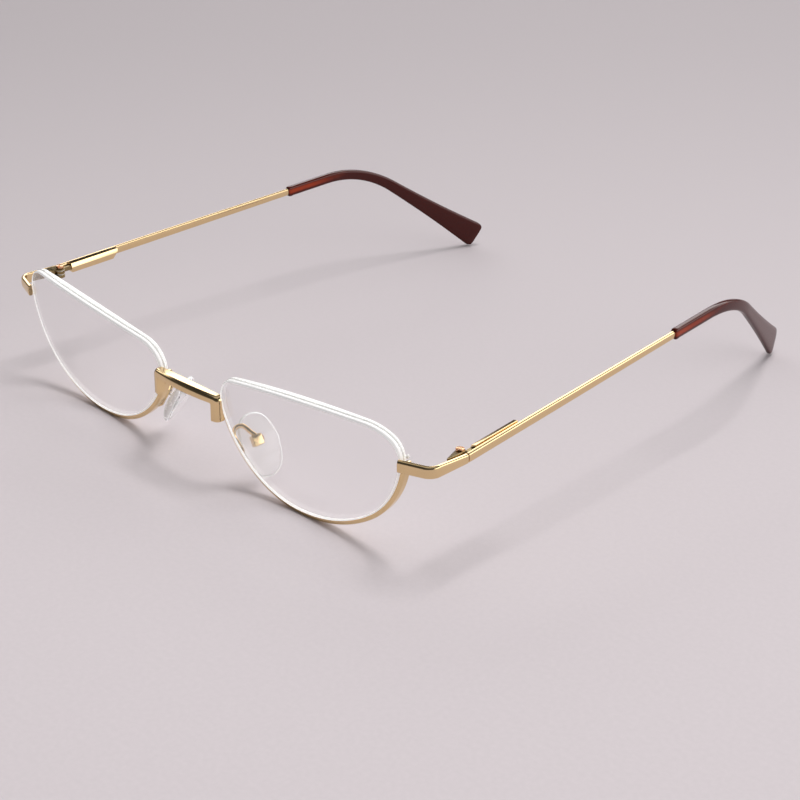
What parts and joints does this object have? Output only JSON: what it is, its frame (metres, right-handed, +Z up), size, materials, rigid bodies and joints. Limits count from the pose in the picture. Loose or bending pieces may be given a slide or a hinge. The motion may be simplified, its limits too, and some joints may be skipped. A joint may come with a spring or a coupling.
{
  "type": "half-rim reading glasses",
  "caption": "Half-rim reading glasses with thin metal frame, clear lenses, spring hinges, folding temples and bent plastic ear tips.",
  "frame": {"origin": "on the resting plane, midway across and midway between the front of the bridge and the ends of the ear tips, with the temples open", "axes": "+Z up, -Y to the front of the lenses, +X to the wearer's left"},
  "size_m": [0.1352, 0.1434, 0.0286],
  "materials": {
    "gold_metal": "polished light gold plating",
    "hinge_metal": "satin, darker gold",
    "screw_metal": "polished rose gold",
    "spring_steel": "drawn wire",
    "clear_lens": "clear, polished",
    "clear_nylon": "clear nylon",
    "clear_pad": "clear soft silicone",
    "tip_plastic": "translucent dark brown, polished"
  },
  "bodies": {
    "front": {"bridge": "gold_metal", "rim_l": "gold_metal", "lens_l": "clear_lens", "rim_liner_l": "clear_nylon", "lens_cord_l": "clear_nylon", "end_piece_l": "gold_metal", "front_hinge_l": "gold_metal", "hinge_screw_l": "screw_metal", "pad_arm_l": "gold_metal", "pad_box_l": "gold_metal", "pad_screw_l": "screw_metal", "rim_r": "gold_metal", "lens_r": "clear_lens", "rim_liner_r": "clear_nylon", "lens_cord_r": "clear_nylon", "end_piece_r": "gold_metal", "front_hinge_r": "gold_metal", "hinge_screw_r": "screw_metal", "pad_arm_r": "gold_metal", "pad_box_r": "gold_metal", "pad_screw_r": "screw_metal"},
    "flex_l": {"hinge_washer_l": "clear_nylon"},
    "link_l": {"hinge_link_l": "hinge_metal", "spring_keeper_l": "hinge_metal", "coil_spring_l": "spring_steel"},
    "temple_l": {"spring_housing_l": "gold_metal", "temple_bar_l": "gold_metal", "temple_tip_l": "tip_plastic"},
    "pad_l": {"nose_pad_l": "clear_pad"},
    "flex_r": {"hinge_washer_r": "clear_nylon"},
    "link_r": {"hinge_link_r": "hinge_metal", "spring_keeper_r": "hinge_metal", "coil_spring_r": "spring_steel"},
    "temple_r": {"spring_housing_r": "gold_metal", "temple_bar_r": "gold_metal", "temple_tip_r": "tip_plastic"},
    "pad_r": {"nose_pad_r": "clear_pad"}
  },
  "joints": [
    {"name": "temple_flex_l", "type": "hinge", "parent": "front", "child": "flex_l", "pos_m": [0.0652, -0.05507, 0.0212], "axis": [0, 0, 1], "range_deg": [-12, 0], "stiffness_Nm_per_rad": 0.1, "springref_deg": 17.19},
    {"name": "temple_fold_l", "type": "hinge", "parent": "flex_l", "child": "link_l", "pos_m": [0.0652, -0.05507, 0.0212], "axis": [0, 0, 1], "range_deg": [0, 83]},
    {"name": "spring_slide_l", "type": "slide", "parent": "link_l", "child": "temple_l", "axis": [-0.0679, 0.9959, 0.0594], "range_m": [0, 0.00045], "deforming": ["coil_spring_l"]},
    {"name": "pad_rock_l", "type": "hinge", "parent": "front", "child": "pad_l", "pos_m": [0.01611, -0.06279, 0.00995], "axis": [0.2579, 0.9487, 0.1827], "range_deg": [-8, 8]},
    {"name": "temple_flex_r", "type": "hinge", "parent": "front", "child": "flex_r", "pos_m": [-0.0652, -0.05507, 0.0212], "axis": [0, 0, -1], "range_deg": [-12, 0], "stiffness_Nm_per_rad": 0.1, "springref_deg": 17.19},
    {"name": "temple_fold_r", "type": "hinge", "parent": "flex_r", "child": "link_r", "pos_m": [-0.0652, -0.05507, 0.0212], "axis": [0, 0, -1], "range_deg": [0, 74]},
    {"name": "spring_slide_r", "type": "slide", "parent": "link_r", "child": "temple_r", "axis": [0.0679, 0.9959, 0.0594], "range_m": [0, 0.00045], "deforming": ["coil_spring_r"]},
    {"name": "pad_rock_r", "type": "hinge", "parent": "front", "child": "pad_r", "pos_m": [-0.01611, -0.06279, 0.00995], "axis": [0.2579, -0.9487, -0.1827], "range_deg": [-8, 8]}
  ],
  "couplings": [
    {"joint": "spring_slide_l", "follows": "temple_flex_l", "m_per_rad": -0.002},
    {"joint": "spring_slide_r", "follows": "temple_flex_r", "m_per_rad": -0.002}
  ]
}
